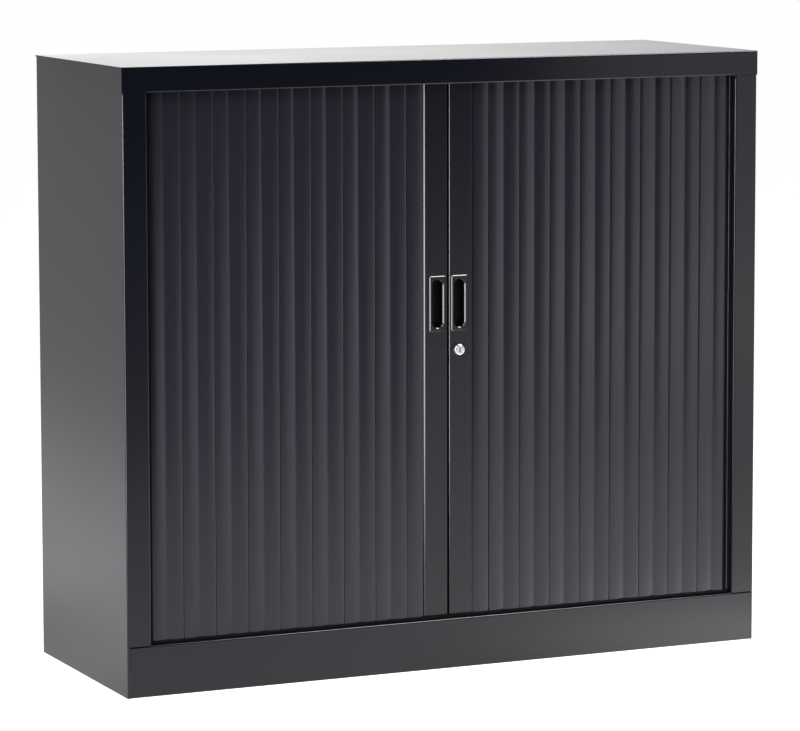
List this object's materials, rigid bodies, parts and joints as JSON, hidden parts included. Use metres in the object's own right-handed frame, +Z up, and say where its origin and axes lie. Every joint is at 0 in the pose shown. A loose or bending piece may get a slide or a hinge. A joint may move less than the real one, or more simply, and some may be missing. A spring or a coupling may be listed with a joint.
{
  "type": "roll front tool cabinet",
  "caption": "Low steel tool cabinet whose slatted curtains roll sideways round the front corners, with recessed handles, a lock on the lead stile and adjustable shelves.",
  "frame": {"origin": "middle of the footprint on the floor, under the cabinet", "axes": "+X along the width to the right as seen from the front, +Y to the back, +Z up; the doors face -Y"},
  "size_m": [1.2, 0.43, 1.06],
  "materials": {
    "panel": "semi-gloss black powder coat on folded steel sheet",
    "inner_panel": "satin black powder coat on folded steel sheet",
    "slat": "semi-gloss black extruded slat",
    "lead": "semi-gloss black powder coat on a hollow section",
    "handle": "satin black moulding",
    "track": "matt black moulded track",
    "chrome": "polished chrome plate",
    "zinc": "bright zinc plate",
    "foot": "zinc-plated stud on a steel pad",
    "rubber": "soft black rubber"
  },
  "bodies": {
    "cabinet": {"top_panel": "panel", "left_side_panel": "panel", "right_side_panel": "panel", "back_panel": "panel", "back_panel_rivets": "zinc", "plinth_front": "panel", "base_tray": "inner_panel", "left_pocket_liner": "inner_panel", "right_pocket_liner": "inner_panel", "lower_left_track": "track", "upper_left_track": "track", "lower_right_track": "track", "upper_right_track": "track", "door_stops": "rubber", "left_uprights": "inner_panel", "right_uprights": "inner_panel", "lower_shelf": "inner_panel", "upper_shelf": "inner_panel", "lower_shelf_clips": "zinc", "upper_shelf_clips": "zinc", "foot_brackets": "inner_panel"},
    "front_left_foot": {"front_left_foot": "foot"},
    "front_right_foot": {"front_right_foot": "foot"},
    "rear_left_foot": {"rear_left_foot": "foot"},
    "rear_right_foot": {"rear_right_foot": "foot"},
    "left_door": {"left_lead_stile": "lead", "left_grip_block": "lead", "left_handle": "handle", "left_guide_shoes": "track", "lock_keeper": "zinc"},
    "left_slat_1": {"left_slat_1": "slat"},
    "left_slat_2": {"left_slat_2": "slat"},
    "left_slat_3": {"left_slat_3": "slat"},
    "left_slat_4": {"left_slat_4": "slat"},
    "left_slat_5": {"left_slat_5": "slat"},
    "left_slat_6": {"left_slat_6": "slat"},
    "left_slat_7": {"left_slat_7": "slat"},
    "left_slat_8": {"left_slat_8": "slat"},
    "left_slat_9": {"left_slat_9": "slat"},
    "left_corner_slat": {"left_corner_slat": "slat"},
    "right_door": {"right_lead_stile": "lead", "right_grip_block": "lead", "right_handle": "handle", "right_guide_shoes": "track", "lock_barrel": "chrome", "lock_nut": "zinc"},
    "right_slat_1": {"right_slat_1": "slat"},
    "right_slat_2": {"right_slat_2": "slat"},
    "right_slat_3": {"right_slat_3": "slat"},
    "right_slat_4": {"right_slat_4": "slat"},
    "right_slat_5": {"right_slat_5": "slat"},
    "right_slat_6": {"right_slat_6": "slat"},
    "right_slat_7": {"right_slat_7": "slat"},
    "right_slat_8": {"right_slat_8": "slat"},
    "right_slat_9": {"right_slat_9": "slat"},
    "right_corner_slat": {"right_corner_slat": "slat"},
    "lock": {"lock_plug": "chrome", "lock_cam": "zinc", "lock_cam_screw": "zinc"}
  },
  "joints": [
    {"name": "front_left_foot_adjust", "type": "slide", "parent": "cabinet", "child": "front_left_foot", "axis": [0, 0, 1], "range_m": [-0.012, 0]},
    {"name": "front_right_foot_adjust", "type": "slide", "parent": "cabinet", "child": "front_right_foot", "axis": [0, 0, 1], "range_m": [-0.012, 0]},
    {"name": "rear_left_foot_adjust", "type": "slide", "parent": "cabinet", "child": "rear_left_foot", "axis": [0, 0, 1], "range_m": [-0.012, 0]},
    {"name": "rear_right_foot_adjust", "type": "slide", "parent": "cabinet", "child": "rear_right_foot", "axis": [0, 0, 1], "range_m": [-0.012, 0]},
    {"name": "left_door_slide", "type": "slide", "parent": "cabinet", "child": "left_door", "axis": [-1, 0, 0], "range_m": [0, 0.5]},
    {"name": "left_slat_1_slide", "type": "slide", "parent": "cabinet", "child": "left_slat_1", "axis": [-1, 0, 0], "range_m": [0, 0.48715], "deforming": ["left_slat_1"]},
    {"name": "left_slat_2_slide", "type": "slide", "parent": "cabinet", "child": "left_slat_2", "axis": [-1, 0, 0], "range_m": [0, 0.44504], "deforming": ["left_slat_2"]},
    {"name": "left_slat_3_slide", "type": "slide", "parent": "cabinet", "child": "left_slat_3", "axis": [-1, 0, 0], "range_m": [0, 0.39052], "deforming": ["left_slat_3"]},
    {"name": "left_slat_4_slide", "type": "slide", "parent": "cabinet", "child": "left_slat_4", "axis": [-1, 0, 0], "range_m": [0, 0.33599], "deforming": ["left_slat_4"]},
    {"name": "left_slat_5_slide", "type": "slide", "parent": "cabinet", "child": "left_slat_5", "axis": [-1, 0, 0], "range_m": [0, 0.28147], "deforming": ["left_slat_5"]},
    {"name": "left_slat_6_slide", "type": "slide", "parent": "cabinet", "child": "left_slat_6", "axis": [-1, 0, 0], "range_m": [0, 0.22695], "deforming": ["left_slat_6"]},
    {"name": "left_slat_7_slide", "type": "slide", "parent": "cabinet", "child": "left_slat_7", "axis": [-1, 0, 0], "range_m": [0, 0.17244], "deforming": ["left_slat_7"]},
    {"name": "left_slat_8_slide", "type": "slide", "parent": "cabinet", "child": "left_slat_8", "axis": [-1, 0, 0], "range_m": [0, 0.11792], "deforming": ["left_slat_8"]},
    {"name": "left_slat_9_slide", "type": "slide", "parent": "cabinet", "child": "left_slat_9", "axis": [-1, 0, 0], "range_m": [0, 0.06339], "deforming": ["left_slat_9"]},
    {"name": "left_corner_slat_slide", "type": "slide", "parent": "cabinet", "child": "left_corner_slat", "axis": [-1, 0, 0], "range_m": [0, 0.01771], "deforming": ["left_corner_slat"]},
    {"name": "right_door_slide", "type": "slide", "parent": "cabinet", "child": "right_door", "axis": [1, 0, 0], "range_m": [0, 0.5]},
    {"name": "right_slat_1_slide", "type": "slide", "parent": "cabinet", "child": "right_slat_1", "axis": [1, 0, 0], "range_m": [0, 0.48715], "deforming": ["right_slat_1"]},
    {"name": "right_slat_2_slide", "type": "slide", "parent": "cabinet", "child": "right_slat_2", "axis": [1, 0, 0], "range_m": [0, 0.44504], "deforming": ["right_slat_2"]},
    {"name": "right_slat_3_slide", "type": "slide", "parent": "cabinet", "child": "right_slat_3", "axis": [1, 0, 0], "range_m": [0, 0.39052], "deforming": ["right_slat_3"]},
    {"name": "right_slat_4_slide", "type": "slide", "parent": "cabinet", "child": "right_slat_4", "axis": [1, 0, 0], "range_m": [0, 0.33599], "deforming": ["right_slat_4"]},
    {"name": "right_slat_5_slide", "type": "slide", "parent": "cabinet", "child": "right_slat_5", "axis": [1, 0, 0], "range_m": [0, 0.28147], "deforming": ["right_slat_5"]},
    {"name": "right_slat_6_slide", "type": "slide", "parent": "cabinet", "child": "right_slat_6", "axis": [1, 0, 0], "range_m": [0, 0.22695], "deforming": ["right_slat_6"]},
    {"name": "right_slat_7_slide", "type": "slide", "parent": "cabinet", "child": "right_slat_7", "axis": [1, 0, 0], "range_m": [0, 0.17244], "deforming": ["right_slat_7"]},
    {"name": "right_slat_8_slide", "type": "slide", "parent": "cabinet", "child": "right_slat_8", "axis": [1, 0, 0], "range_m": [0, 0.11792], "deforming": ["right_slat_8"]},
    {"name": "right_slat_9_slide", "type": "slide", "parent": "cabinet", "child": "right_slat_9", "axis": [1, 0, 0], "range_m": [0, 0.06339], "deforming": ["right_slat_9"]},
    {"name": "right_corner_slat_slide", "type": "slide", "parent": "cabinet", "child": "right_corner_slat", "axis": [1, 0, 0], "range_m": [0, 0.01771], "deforming": ["right_corner_slat"]},
    {"name": "lock_turn", "type": "hinge", "parent": "right_door", "child": "lock", "pos_m": [0.018, -0.18, 0.557], "axis": [0, -1, 0], "range_deg": [0, 90]}
  ],
  "couplings": [
    {"joint": "left_slat_1_slide", "follows": "left_door_slide", "ratio": 0.9703},
    {"joint": "left_slat_2_slide", "follows": "left_door_slide", "ratio": 0.88607},
    {"joint": "left_slat_3_slide", "follows": "left_door_slide", "ratio": 0.77703},
    {"joint": "left_slat_4_slide", "follows": "left_door_slide", "ratio": 0.66799},
    {"joint": "left_slat_5_slide", "follows": "left_door_slide", "ratio": 0.55895},
    {"joint": "left_slat_6_slide", "follows": "left_door_slide", "ratio": 0.44991},
    {"joint": "left_slat_7_slide", "follows": "left_door_slide", "ratio": 0.34087},
    {"joint": "left_slat_8_slide", "follows": "left_door_slide", "ratio": 0.23183},
    {"joint": "left_slat_9_slide", "follows": "left_door_slide", "ratio": 0.12279},
    {"joint": "left_corner_slat_slide", "follows": "left_door_slide", "ratio": 0.03142},
    {"joint": "right_slat_1_slide", "follows": "right_door_slide", "ratio": 0.9703},
    {"joint": "right_slat_2_slide", "follows": "right_door_slide", "ratio": 0.88607},
    {"joint": "right_slat_3_slide", "follows": "right_door_slide", "ratio": 0.77703},
    {"joint": "right_slat_4_slide", "follows": "right_door_slide", "ratio": 0.66799},
    {"joint": "right_slat_5_slide", "follows": "right_door_slide", "ratio": 0.55895},
    {"joint": "right_slat_6_slide", "follows": "right_door_slide", "ratio": 0.44991},
    {"joint": "right_slat_7_slide", "follows": "right_door_slide", "ratio": 0.34087},
    {"joint": "right_slat_8_slide", "follows": "right_door_slide", "ratio": 0.23183},
    {"joint": "right_slat_9_slide", "follows": "right_door_slide", "ratio": 0.12279},
    {"joint": "right_corner_slat_slide", "follows": "right_door_slide", "ratio": 0.03142}
  ]
}
